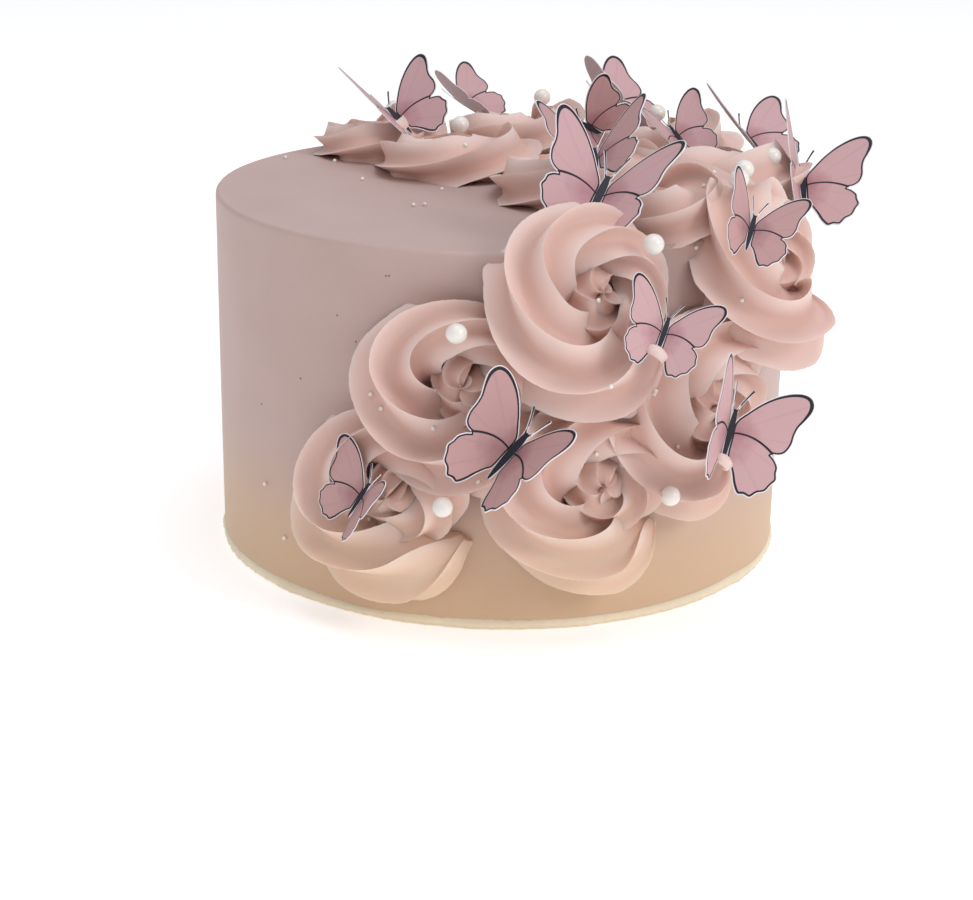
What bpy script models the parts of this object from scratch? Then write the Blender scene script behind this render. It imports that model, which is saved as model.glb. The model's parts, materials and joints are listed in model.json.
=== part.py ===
"""A round celebration cake, 160 mm across, with piped rosettes, paper butterflies and sugar pearls.

The frame is in metres. The origin is the centre of the cake's flat underside, +Z is up and the cake
is seen from -Y. An azimuth turns from -Y (0 degrees, the front) towards +X (90 degrees, the right).

The cake is one upright cylinder. A cascade of rosettes lies over its front and right side, turns over
the top edge and ends as a crescent on the top. Each rosette is one loop of rope from a six-toothed
piping tip. The bag doesn't turn while the rope goes round, so each tooth's ridge starts low on the
outside of the rope and climbs over it to the hollow in the middle.
"""

from collections import namedtuple
from math import cos, pi, radians, sin, sqrt

import bmesh
import bpy
from mathutils import Matrix, Vector

# ---- driving dimensions, metres and degrees ---------------------------------------------------
CAKE_RADIUS = 0.080
CAKE_HEIGHT = 0.099
CAKE_EDGE = 0.0015
CAKE_SIDES = 80
EDGE_STEPS = 2

CLEARANCE = 0.0003
SWELL = 0.0009
SIDE_DEPTH = 0.006
EDGE_DEPTH = 0.026
TOP_DEPTH = -CLEARANCE
WELD = 0.000002
FLAT_WITHIN = radians(0.1)

ROPE_RISE = 0.0045
TIP_TEETH = 6
VALLEY_SHARE = 0.70
RIDGE_SHARPNESS = 0.8
PATH_SHARE = 0.52
ROPE_SHARE = 0.46
HOOD_SHOULDER = 0.3
HOOD_CROWN = 0.55
HOOD_DEPTH = 0.028
HOLLOW_RISE = 0.0030

PEARL_RADIUS = 0.0030
PEARL_SINK = 0.0012
ICOSAHEDRON_INRADIUS = 0.7947

CARD = 0.0004

# Linear colours.
COAT_PINK = (0.64, 0.43, 0.37)
PIPED_PINK = (0.76, 0.52, 0.44)
PEARL_WHITE = (0.88, 0.86, 0.82)
CARD_MAUVE = (0.52, 0.33, 0.37)

# How finely a rosette is drawn: strands for each tooth, and the angles a strand climbs through.
Grain = namedtuple("Grain", "strands climb")
FINE = Grain(4, (0, 35, 70, 105, 145))
COARSE = Grain(3, (0, 45, 90, 140))

# ---- the rosettes, in the order they are piped: a later one lies over an earlier one ------------
# turn moves the ridges round, and the loop lies drift of its width further out on its far side.
Seat = namedtuple("Seat", "kind azimuth height lean x y")
Rosette = namedtuple("Rosette", "name seat radius squash turn drift far depth grain")


def on_side(azimuth, height):
    """A seat on the upright wall, bent round it."""
    return Seat("side", radians(azimuth), height, 0.0, 0.0, 0.0)


def on_edge(azimuth, height, lean):
    """A seat on the wall near the top edge, where the rosette leans back by lean degrees."""
    return Seat("edge", radians(azimuth), height, radians(lean), 0.0, 0.0)


def on_top(x, y):
    """A seat on the flat top."""
    return Seat("top", 0.0, CAKE_HEIGHT, 0.0, x, y)


ROSETTES = (
    Rosette("rosette_low_left", on_side(-18.5, 0.0360), 0.0265, 1.0, 0, 0.10, 0, SIDE_DEPTH, FINE),
    Rosette("rosette_low_middle", on_side(17, 0.0400), 0.0265, 1.0, 15, 0.15, 270, SIDE_DEPTH, FINE),
    Rosette("rosette_left", on_side(-6.5, 0.0665), 0.0270, 1.0, 45, 0.10, 225, SIDE_DEPTH, FINE),
    Rosette("rosette_right", on_side(38, 0.0570), 0.0275, 1.0, 0, 0.20, 290, SIDE_DEPTH, FINE),
    Rosette("rosette_top_left", on_top(-0.041, 0.050), 0.0220, 0.85, 0, 0.0, 0, TOP_DEPTH, COARSE),
    Rosette("rosette_top_back", on_top(0.000, 0.058), 0.0250, 0.90, 20, 0.0, 0, TOP_DEPTH, COARSE),
    Rosette("rosette_top_back_right", on_top(0.040, 0.042), 0.0270, 0.9, 0, 0.0, 0, TOP_DEPTH, COARSE),
    Rosette("rosette_top_centre", on_top(-0.017, 0.026), 0.0240, 0.75, 40, 0.0, 0, TOP_DEPTH, COARSE),
    Rosette("rosette_top_right", on_top(0.057, 0.004), 0.0270, 0.9, 20, 0.0, 0, TOP_DEPTH, COARSE),
    Rosette("rosette_top_middle", on_top(0.018, -0.007), 0.0270, 0.8, 0, 0.0, 0, TOP_DEPTH, COARSE),
    Rosette("rosette_edge_right", on_edge(53.5, 0.0905, 22), 0.0270, 1.0, 30, 0.12, 225, EDGE_DEPTH, FINE),
    Rosette("rosette_top_front", on_top(0.037, -0.043), 0.0260, 0.85, 40, 0.0, 0, TOP_DEPTH, COARSE),
    Rosette("rosette_edge_front", on_edge(16, 0.0870, 18), 0.0275, 1.0, 15, 0.25, 225, EDGE_DEPTH, FINE),
)

# ---- the pearls: which rosette, the angle round it from its right, and how far out -------------
PEARLS = (
    ("rosette_left", 89, 0.0170),
    ("rosette_low_left", 13, 0.0150),
    ("rosette_right", 231, 0.0235),
    ("rosette_edge_front", 46, 0.0170),
    ("rosette_edge_right", 115, 0.0235),
    ("rosette_edge_right", 98, 0.0235),
    ("rosette_top_right", 317, 0.0220),
    ("rosette_top_left", 68, 0.0180),
    ("rosette_top_centre", 62, 0.0085),
    ("rosette_top_back", 42, 0.0155),
    ("rosette_top_back_right", 44, 0.0080),
)

# ---- the butterflies: centre, where the head points, the roll about that line, fold, scale -----
Butterfly = namedtuple("Butterfly", "name centre azimuth rise roll fold scale")
BUTTERFLIES = (
    Butterfly("butterfly_back_left", (-0.032, 0.045, 0.110), -147, 21, -5, 40, 0.95),
    Butterfly("butterfly_far_left", (-0.012, 0.076, 0.109), -112, 27, 0, 37, 0.70),
    Butterfly("butterfly_front_top", (0.024, -0.061, 0.110), 155, 34, 16, 34, 1.02),
    Butterfly("butterfly_second_top", (0.024, -0.029, 0.113), -179, 16, -5, 38, 0.94),
    Butterfly("butterfly_third_top", (0.025, 0.022, 0.112), -43, 26, -80, 40, 0.80),
    Butterfly("butterfly_far_top", (0.033, 0.051, 0.113), -114, 36, 9, 33, 0.88),
    Butterfly("butterfly_right_top", (0.049, 0.011, 0.112), -129, 44, -14, 29, 0.64),
    Butterfly("butterfly_far_right", (0.070, 0.018, 0.1106), -149, 29, 14, 29, 0.83),
    Butterfly("butterfly_edge_right", (0.083, -0.004, 0.102), 178, 36, 30, 41, 1.00),
    Butterfly("butterfly_side_high", (0.060, -0.079, 0.106), 160, 42, 35, 36, 0.66),
    Butterfly("butterfly_side_middle", (0.039, -0.091, 0.083), 150, 51, 35, 23, 0.66),
    Butterfly("butterfly_side_right", (0.057, -0.084, 0.056), 154, 54, 60, 33, 0.94),
    Butterfly("butterfly_side_front", (0.003, -0.099, 0.055), 104, 48, 50, 43, 0.93),
    Butterfly("butterfly_side_left", (-0.034, -0.089, 0.039), 88, 59, 37, 26, 0.67),
)

# The flat butterfly at scale 1, its right half in millimetres: x from the body's middle, y to the head.
MM = 0.001
BODY_HALF = 1.1
BODY_SIDE = ((0.3, 6.0), (0.9, 5.6), (1.1, 3.5), (1.1, -6.0), (0.5, -8.5))
SHOULDER = 2
HIP = 3
FEELER = ((3.2, 12.8), (3.8, 12.5))
FOREWING = ((6.5, 10.5), (13.0, 15.0), (17.8, 16.0), (20.2, 13.5), (18.6, 8.0), (17.0, 1.5), (14.5, -2.0))
HINDWING = ((11.5, -2.6), (14.8, -5.0), (15.3, -8.8), (13.0, -12.6), (9.5, -15.4), (6.2, -15.4), (3.6, -11.5))


def seat_point(seat, right, up, out):
    """World place of a point given to the right, up and out from a seat."""
    if seat.kind == "side":
        angle = seat.azimuth + right / CAKE_RADIUS
        reach = CAKE_RADIUS + out
        return Vector((reach * sin(angle), -reach * cos(angle), seat.height + up))
    if seat.kind == "top":
        return Vector((seat.x + right, seat.y + up, CAKE_HEIGHT + out))
    outward = Vector((sin(seat.azimuth) * cos(seat.lean), -cos(seat.azimuth) * cos(seat.lean), sin(seat.lean)))
    sideways = Vector((cos(seat.azimuth), sin(seat.azimuth), 0.0))
    upward = outward.cross(sideways)
    foot = Vector((CAKE_RADIUS * sin(seat.azimuth), -CAKE_RADIUS * cos(seat.azimuth), seat.height))
    return foot + sideways * right + upward * up + outward * out


def turns(grain):
    """The angles of a rosette's strands."""
    count = TIP_TEETH * grain.strands
    return [2 * pi * i / count for i in range(count)]


def path_reach(rosette, around):
    """Distance of the rope's middle from the rosette's, which drifts outward on the far side."""
    return rosette.radius * PATH_SHARE * (1 + rosette.drift * cos(around - radians(rosette.far)))


def rope_point(rosette, phase, climb):
    """A strand's point once it has climbed that far over the rope, from its outside at 0 to its inside.

    A tooth cuts a sharp ridge at phase 0 and a round valley half way to the next.
    """
    ridge = rosette.radius * ROPE_SHARE
    valley = ridge * VALLEY_SHARE
    reach = ridge - (ridge - valley) * abs(sin(TIP_TEETH * phase / 2)) ** RIDGE_SHARPNESS
    around = phase + climb + radians(rosette.turn)
    out = path_reach(rosette, around) + reach * cos(climb)
    rise = (ROPE_RISE + reach * sin(climb)) * rosette.squash
    return out * cos(around), out * sin(around), rise


# ---- meshes ---------------------------------------------------------------------------------------
def new_object(name, mesh_data, finish):
    """An object of one closed body in the scene's collection, with its normals outward."""
    bmesh.ops.triangulate(mesh_data, faces=mesh_data.faces)
    bmesh.ops.recalc_face_normals(mesh_data, faces=mesh_data.faces)
    mesh = bpy.data.meshes.new(name)
    mesh_data.to_mesh(mesh)
    mesh_data.free()
    if finish is not None:
        mesh.materials.append(finish)
    thing = bpy.data.objects.new(name, mesh)
    bpy.context.scene.collection.objects.link(thing)
    return thing


def finish(name, colour, roughness, coat=0.0):
    """A plain Principled material."""
    made = bpy.data.materials.new(name)
    made.use_nodes = True
    shader = made.node_tree.nodes["Principled BSDF"]
    shader.inputs["Base Color"].default_value = (*colour, 1.0)
    shader.inputs["Roughness"].default_value = roughness
    shader.inputs["Metallic"].default_value = 0.0
    shader.inputs["Coat Weight"].default_value = coat
    return made


def drum(grow=0.0, below=0.0):
    """The cake's cylinder with its small round top edge. grow and below make it a cutter."""
    shape = bmesh.new()
    height = CAKE_HEIGHT + grow + below
    middle = (CAKE_HEIGHT + grow - below) / 2
    radius = CAKE_RADIUS + grow
    bmesh.ops.create_cone(
        shape,
        cap_ends=True,
        cap_tris=True,
        segments=CAKE_SIDES,
        radius1=radius,
        radius2=radius,
        depth=height,
        matrix=Matrix.Translation((0, 0, middle)),
    )
    top = CAKE_HEIGHT + grow
    rim = [e for e in shape.edges if all(v.co.z > top - WELD and v.co.xy.length > radius / 2 for v in e.verts)]
    bmesh.ops.bevel(
        shape,
        geom=rim,
        offset=CAKE_EDGE,
        offset_type="OFFSET",
        segments=EDGE_STEPS,
        profile=0.5,
        affect="EDGES",
    )
    return shape


def ring(shape, seat, points):
    """One closed ring of vertices at a seat."""
    return [shape.verts.new(seat_point(seat, *point)) for point in points]


def skin(shape, rings, start, end):
    """Joins rings one after another, and closes both ends with a fan about a middle vertex.

    Each square is split the same way, so a swollen swirl holds the plain one at every point.
    """
    count = len(rings[0])
    for lower, upper in zip(rings, rings[1:]):
        for i in range(count):
            j = (i + 1) % count
            shape.faces.new((lower[i], lower[j], upper[i]))
            shape.faces.new((lower[j], upper[j], upper[i]))
    for i in range(count):
        j = (i + 1) % count
        shape.faces.new((start, rings[0][j], rings[0][i]))
        shape.faces.new((end, rings[-1][i], rings[-1][j]))


def swirl(rosette):
    """The rosette: its strands side by side, each climbing from the foot over the crown to the hollow."""
    shape = bmesh.new()
    phases = turns(rosette.grain)
    foot = [rope_point(rosette, p, 0.0) for p in phases]
    rings = [ring(shape, rosette.seat, [(x, y, -rosette.depth) for x, y, _ in foot])]
    for climb in rosette.grain.climb:
        rings.append(ring(shape, rosette.seat, [rope_point(rosette, p, radians(climb)) for p in phases]))
    base = shape.verts.new(seat_point(rosette.seat, 0, 0, -rosette.depth))
    hollow = shape.verts.new(seat_point(rosette.seat, 0, 0, HOLLOW_RISE * rosette.squash))
    skin(shape, rings, base, hollow)
    return shape


def swollen_swirl(rosette):
    """The rosette grown all round, which trims a card so that it stops just short of the cream."""
    shape = swirl(rosette)
    bmesh.ops.recalc_face_normals(shape, faces=shape.faces)
    shape.normal_update()
    grown = [vert.co + vert.normal * vert.calc_shell_factor() * SWELL for vert in shape.verts]
    for vert, place in zip(shape.verts, grown):
        vert.co = place
    return shape


def hood(rosette):
    """A plain cap just outside the whole rosette, which trims what was piped before it."""
    shape = bmesh.new()
    rope = rosette.radius * ROPE_SHARE + CLEARANCE
    crown_rise = (ROPE_RISE + rope) * rosette.squash + CLEARANCE
    shoulder_rise = (ROPE_RISE + rope * HOOD_SHOULDER) * rosette.squash
    rings = []
    for share, rise in ((1.0, -HOOD_DEPTH), (1.0, shoulder_rise), (HOOD_CROWN, crown_rise)):
        points = []
        for around in turns(rosette.grain):
            out = path_reach(rosette, around) + rope * share
            points.append((out * cos(around), out * sin(around), rise))
        rings.append(ring(shape, rosette.seat, points))
    base = shape.verts.new(seat_point(rosette.seat, 0, 0, -HOOD_DEPTH))
    crown = shape.verts.new(seat_point(rosette.seat, 0, 0, crown_rise))
    skin(shape, rings, base, crown)
    return shape


def card_frame(butterfly):
    """Turns the card's own right, head and face directions into the world's."""
    rise = radians(butterfly.rise)
    azimuth = radians(butterfly.azimuth)
    head = Vector((sin(azimuth) * cos(rise), -cos(azimuth) * cos(rise), sin(rise)))
    level = head.cross(Vector((0, 0, 1))).normalized()
    face = Matrix.Rotation(radians(butterfly.roll), 3, head) @ level.cross(head)
    right = head.cross(face)
    turn = Matrix((right, head, face)).transposed().to_4x4()
    return Matrix.Translation(butterfly.centre) @ turn @ Matrix.Scale(butterfly.scale * MM, 4)


def card(butterfly):
    """One butterfly of stiff card: the body strip, both wings folded up from it and two feelers."""
    shape = bmesh.new()
    fold = radians(butterfly.fold)
    place = card_frame(butterfly)

    def vertex(x, y):
        across = max(abs(x) - BODY_HALF, 0.0)
        side = 1 if x > 0 else -1
        flat = side * (min(abs(x), BODY_HALF) + across * cos(fold))
        return shape.verts.new(place @ Vector((flat, y, across * sin(fold))))

    strip = {}
    for side in (1, -1):
        strip[side] = [vertex(side * x, y) for x, y in BODY_SIDE]
        outline = [vertex(side * x, y) for x, y in FOREWING + HINDWING]
        shoulder, hip = strip[side][SHOULDER], strip[side][HIP]
        edge = [shoulder, *outline, hip]
        shape.faces.new(edge if side < 0 else edge[::-1])
        feeler = [vertex(side * x, y) for x, y in FEELER]
        feeler += [strip[side][1], strip[side][0]]
        shape.faces.new(feeler if side < 0 else feeler[::-1])
    shape.faces.new(strip[-1] + strip[1][::-1])
    bmesh.ops.recalc_face_normals(shape, faces=shape.faces)
    bmesh.ops.triangulate(shape, faces=shape.faces)
    half = CARD / 2
    for vert in shape.verts:
        vert.normal_update()
    lower = {vert: shape.verts.new(vert.co - vert.normal * half) for vert in list(shape.verts)}
    for vert, twin in lower.items():
        vert.co += vert.normal * half
    rim = [(e, e.link_loops[0].vert, e.link_loops[0].link_loop_next.vert) for e in shape.edges if e.is_boundary]
    for face in list(shape.faces):
        shape.faces.new([lower[v] for v in reversed(face.verts)])
    for _, first, second in rim:
        shape.faces.new((second, first, lower[first], lower[second]))
    return shape


def pearl_place(host, angle, reach):
    """Centre of a pearl that sits sunk in the rope's crown."""
    rope = host.radius * ROPE_SHARE * (1 + VALLEY_SHARE) / 2
    around = radians(angle)
    across = (reach - path_reach(host, around)) / rope
    rise = (ROPE_RISE + rope * sqrt(max(1 - across * across, 0.0))) * host.squash
    out = rise + PEARL_RADIUS - PEARL_SINK
    return seat_point(host.seat, reach * cos(around), reach * sin(around), out)


def ball(centre, radius):
    """A round ball."""
    shape = bmesh.new()
    bmesh.ops.create_icosphere(shape, subdivisions=2, radius=radius, matrix=Matrix.Translation(centre))
    return shape


def pocket(centre):
    """A twenty-sided hole that holds a pearl with clearance at each of its faces."""
    shape = bmesh.new()
    reach = (PEARL_RADIUS + CLEARANCE) / ICOSAHEDRON_INRADIUS
    bmesh.ops.create_icosphere(shape, subdivisions=1, radius=reach, matrix=Matrix.Translation(centre))
    return shape


# ---- trimming --------------------------------------------------------------------------------------
def near(one, other):
    """Whether the boxes round two objects meet."""
    for axis in range(3):
        one_side = [v.co[axis] for v in one.data.vertices]
        other_side = [v.co[axis] for v in other.data.vertices]
        if max(one_side) < min(other_side) or max(other_side) < min(one_side):
            return False
    return True


def keep_largest(thing):
    """Removes the crumbs that a cut leaves beside the main body."""
    shape = bmesh.new()
    shape.from_mesh(thing.data)
    bmesh.ops.remove_doubles(shape, verts=shape.verts, dist=WELD)
    bmesh.ops.dissolve_degenerate(shape, edges=shape.edges, dist=WELD)
    waiting = set(shape.verts)
    bodies = []
    while waiting:
        reached = {waiting.pop()}
        body = set(reached)
        while reached:
            vert = reached.pop()
            for edge in vert.link_edges:
                other = edge.other_vert(vert)
                if other in waiting:
                    waiting.discard(other)
                    reached.add(other)
                    body.add(other)
        bodies.append(body)
    bodies.sort(key=len, reverse=True)
    bmesh.ops.delete(shape, geom=[v for body in bodies[1:] for v in body], context="VERTS")
    bmesh.ops.dissolve_limit(shape, angle_limit=FLAT_WITHIN, verts=shape.verts, edges=shape.edges)
    bmesh.ops.triangulate(shape, faces=shape.faces)
    shape.to_mesh(thing.data)
    shape.free()


def cut(thing, tools):
    """Takes each tool that reaches the thing out of it."""
    used = [tool for tool in tools if near(thing, tool)]
    for tool in used:
        boolean = thing.modifiers.new("cut_" + tool.name, "BOOLEAN")
        boolean.operation = "DIFFERENCE"
        boolean.solver = "EXACT"
        boolean.object = tool
    graph = bpy.context.evaluated_depsgraph_get()
    graph.update()
    mesh = bpy.data.meshes.new_from_object(thing.evaluated_get(graph))
    thing.modifiers.clear()
    thing.data = mesh
    keep_largest(thing)


def tool_object(name, shape):
    """A helper that only cuts."""
    tool = new_object(name, shape, None)
    tool.hide_render = True
    tool.display_type = "WIRE"
    return tool


# ---- the cake --------------------------------------------------------------------------------------
for old in list(bpy.data.objects):
    bpy.data.objects.remove(old, do_unlink=True)

coat = finish("buttercream_coat", COAT_PINK, 0.55)
piped = finish("buttercream_piped", PIPED_PINK, 0.5)
pearl = finish("sugar_pearl", PEARL_WHITE, 0.3, coat=0.5)
paper = finish("printed_card", CARD_MAUVE, 0.7)

new_object("cake", drum(), coat)
drum_tool = tool_object("tool_drum", drum(grow=CLEARANCE, below=0.010))

cards = [new_object(b.name, card(b), paper) for b in BUTTERFLIES]
swollen = [tool_object("tool_swollen_" + r.name, swollen_swirl(r)) for r in ROSETTES]
for piece in cards:
    cut(piece, [drum_tool, *swollen])

hoods = [tool_object("tool_" + r.name, hood(r)) for r in ROSETTES]
hosts = {r.name: r for r in ROSETTES}
pockets = []
for count, (host, angle, reach) in enumerate(PEARLS, 1):
    centre = pearl_place(hosts[host], angle, reach)
    new_object(f"pearl_{count:02d}", ball(centre, PEARL_RADIUS), pearl)
    pockets.append(tool_object(f"tool_pearl_{count:02d}", pocket(centre)))

for count, rosette in enumerate(ROSETTES):
    piece = new_object(rosette.name, swirl(rosette), piped)
    cut(piece, [drum_tool, *hoods[count + 1 :], *pockets])

for tool in [drum_tool, *swollen, *hoods, *pockets]:
    bpy.data.objects.remove(tool, do_unlink=True)
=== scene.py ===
# %% [markdown]
# # A celebration cake, finished with Blender
# The solid model is loaded as a fixed frame in metres. This script dresses it: it adds the camera, the
# light and the fine surface of each piece. A round cake 160 mm across stands on the floor with its
# decorated front towards -Y. Sizes below are in millimetres unless a name says otherwise.

# %% Load the frame
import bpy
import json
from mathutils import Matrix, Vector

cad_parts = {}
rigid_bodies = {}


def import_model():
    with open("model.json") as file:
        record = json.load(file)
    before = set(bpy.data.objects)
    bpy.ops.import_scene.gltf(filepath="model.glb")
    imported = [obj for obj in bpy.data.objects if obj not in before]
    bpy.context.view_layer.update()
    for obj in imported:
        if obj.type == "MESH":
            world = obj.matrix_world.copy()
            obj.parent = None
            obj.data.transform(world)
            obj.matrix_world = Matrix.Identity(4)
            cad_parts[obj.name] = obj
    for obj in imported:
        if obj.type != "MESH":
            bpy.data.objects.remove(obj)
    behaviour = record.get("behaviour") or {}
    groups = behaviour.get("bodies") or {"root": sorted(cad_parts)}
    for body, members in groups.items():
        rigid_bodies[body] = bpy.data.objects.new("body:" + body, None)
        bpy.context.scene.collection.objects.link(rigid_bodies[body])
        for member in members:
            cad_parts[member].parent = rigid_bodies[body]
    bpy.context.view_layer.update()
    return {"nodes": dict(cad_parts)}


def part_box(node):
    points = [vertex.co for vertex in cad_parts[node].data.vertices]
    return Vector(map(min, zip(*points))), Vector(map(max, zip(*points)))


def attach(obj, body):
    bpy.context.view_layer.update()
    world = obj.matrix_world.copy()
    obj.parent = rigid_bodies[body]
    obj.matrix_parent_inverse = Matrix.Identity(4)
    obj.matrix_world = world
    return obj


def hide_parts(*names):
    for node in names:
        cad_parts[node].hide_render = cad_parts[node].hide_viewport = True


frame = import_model()

import json
from math import cos, pi, radians, sin, tau

import bmesh
import bpy
import numpy as np
from mathutils import Matrix, Vector
from mathutils.bvhtree import BVHTree

MM = 0.001
CAKE_RADIUS = 80.0
CAKE_HEIGHT = 99.0
print("solid pieces in the frame:", len(frame["nodes"]))

# %% [markdown]
# ## Small helpers
# Colours are written as sRGB hex values, as a paint chart gives them, and one function turns them into
# the linear numbers that a shader wants. One more function adds a node with its settings and links.

# %% Helpers
def linear(hex_code):
    """A linear colour with alpha from an sRGB hex value."""
    channels = [int(hex_code[i:i + 2], 16) / 255 for i in (1, 3, 5)]
    return (*[c / 12.92 if c <= 0.04045 else ((c + 0.055) / 1.055) ** 2.4 for c in channels], 1.0)


def add_node(tree, kind, settings=None, links=None, **inputs):
    """Adds a node, sets its attributes and inputs, and links what is given to its inputs."""
    node = tree.nodes.new(kind)
    for name, value in (settings or {}).items():
        setattr(node, name, value)
    for name, value in inputs.items():
        node.inputs[name.replace("_", " ")].default_value = value
    for name, source in (links or {}).items():
        tree.links.new(source, node.inputs[name])
    return node


def new_material(name):
    """A material with its node tree, its Principled shader and the piece's own coordinates."""
    material = bpy.data.materials.new(name)
    material.use_nodes = True
    tree = material.node_tree
    shader = tree.nodes["Principled BSDF"]
    where = add_node(tree, "ShaderNodeTexCoord")
    return material, tree, shader, where.outputs["Object"]


def deselect():
    """Leaves nothing selected, because an operator works on all that is."""
    bpy.ops.object.select_all(action="DESELECT")


def settle(piece, name, slot, *nodes):
    """Names a finished piece, rides it on the cake and hides the solids it stands for."""
    piece.name = name
    piece.data.name = name
    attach(piece, "root")
    if nodes:
        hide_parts(*nodes)
    print(name, "has", len(piece.data.polygons), "faces")
    return piece


def mesh_piece(points, faces, name):
    """An object from points in metres and faces."""
    mesh = bpy.data.meshes.new(name)
    mesh.from_pydata([tuple(p) for p in points], [], [tuple(f) for f in faces])
    piece = bpy.data.objects.new(name, mesh)
    bpy.context.scene.collection.objects.link(piece)
    return piece


print("a mid grey, #808080, is", round(linear("#808080")[0], 3), "to a shader")

# %% [markdown]
# ## Camera
# A long lens, 0.6 m in front of the cake and a little above it, so that the top shows as a narrow
# ellipse. The camera is turned a shade about its own line of sight.

# %% Camera
PITCH = radians(19.187)
YAW = radians(-0.366)
ROLL = radians(0.91)
sight = Vector((sin(YAW) * cos(PITCH), cos(YAW) * cos(PITCH), -sin(PITCH)))
across = sight.cross(Vector((0, 0, 1))).normalized()
upright = across.cross(sight)
turned_across = across * cos(ROLL) + upright * sin(ROLL)
turned_upright = upright * cos(ROLL) - across * sin(ROLL)
CAMERA_PLACE = (0, -0.55555, 0.21443)
camera_data = bpy.data.cameras.new("camera")
camera_data.lens = 74.33
camera_data.sensor_width = 36
camera_data.sensor_fit = "HORIZONTAL"
camera = bpy.data.objects.new("camera", camera_data)
turn = Matrix((turned_across, turned_upright, -sight)).transposed().to_4x4()
camera.matrix_world = Matrix.Translation(CAMERA_PLACE) @ turn
bpy.context.scene.collection.objects.link(camera)
bpy.context.scene.camera = camera
print("camera is", round(camera.location.length, 3), "m from the cake")

# %% [markdown]
# ## Floor and light
# A pale floor and a white surround, as on a white studio table. One soft lamp stands at the front right
# and gives the lips their shine. A larger one hangs overhead for the flat top, and the white surround
# fills the shadows. The floor glows a little, so that it stays white right up to the cake.

# %% Stage
deselect()
bpy.ops.mesh.primitive_plane_add(size=6, location=(0, 0, -0.0004))
floor = bpy.context.object
floor.name = "floor"
floor_paint, tree, shader, _ = new_material("matt white table")
shader.inputs["Base Color"].default_value = linear("#f2f1ef")
shader.inputs["Roughness"].default_value = 0.9
shader.inputs["Specular IOR Level"].default_value = 0.1
shader.inputs["Emission Color"].default_value = linear("#ffffff")
shader.inputs["Emission Strength"].default_value = 0.42
floor.data.materials.append(floor_paint)


def lamp(name, place, size, power, colour="#ffffff"):
    """A square soft lamp that faces the middle of the cake."""
    data = bpy.data.lights.new(name, "AREA")
    data.size = size
    data.energy = power
    data.color = linear(colour)[:3]
    made = bpy.data.objects.new(name, data)
    made.location = place
    aim = Vector((0, 0, 0.06)) - Vector(place)
    made.rotation_euler = aim.to_track_quat("-Z", "Y").to_euler()
    bpy.context.scene.collection.objects.link(made)
    return made


lamp("key_softbox", (1.0, -0.75, 0.80), 0.5, 6.0, "#fdfdff")
lamp("overhead_softbox", (0.1, -0.1, 1.40), 1.0, 6.0, "#f6f9ff")
world = bpy.data.worlds.new("white surround")
bpy.context.scene.world = world
world.use_nodes = True
world.node_tree.nodes["Background"].inputs["Color"].default_value = linear("#f8faff")
world.node_tree.nodes["Background"].inputs["Strength"].default_value = 0.56
bpy.context.scene.view_settings.view_transform = "Standard"

# %% [markdown]
# ## Buttercream
# Butter and icing sugar are beaten pale and tinted with a drop of rose. Light goes a millimetre or two
# into it, so thin lips glow and deep folds turn warm. It is satin, not glossy. Air bubbles and sugar
# leave pits of six to eight tenths of a millimetre. The cake's coat is smoothed with a long scraper, so
# its marks run level round the side: that noise is stretched sideways by a Mapping node. The lowest third
# takes a painted reflection: a warm peach tint, standing for the light of a gold cake board, that fades
# out upwards. In the piping a point attribute, lip, is 1 on the thin lips and 0 in the folds and lower on
# the inner laps, and it blends the pale colour into a darker, warmer painted shade in the folds and
# towards the hollow.

# %% Buttercream
# Heights in mm: the painted reflection of a gold cake board begins at the first and is full at the second.
BOARD_REFLECTION_TOP = 46
BOARD_REFLECTION_FULL = 6


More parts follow.
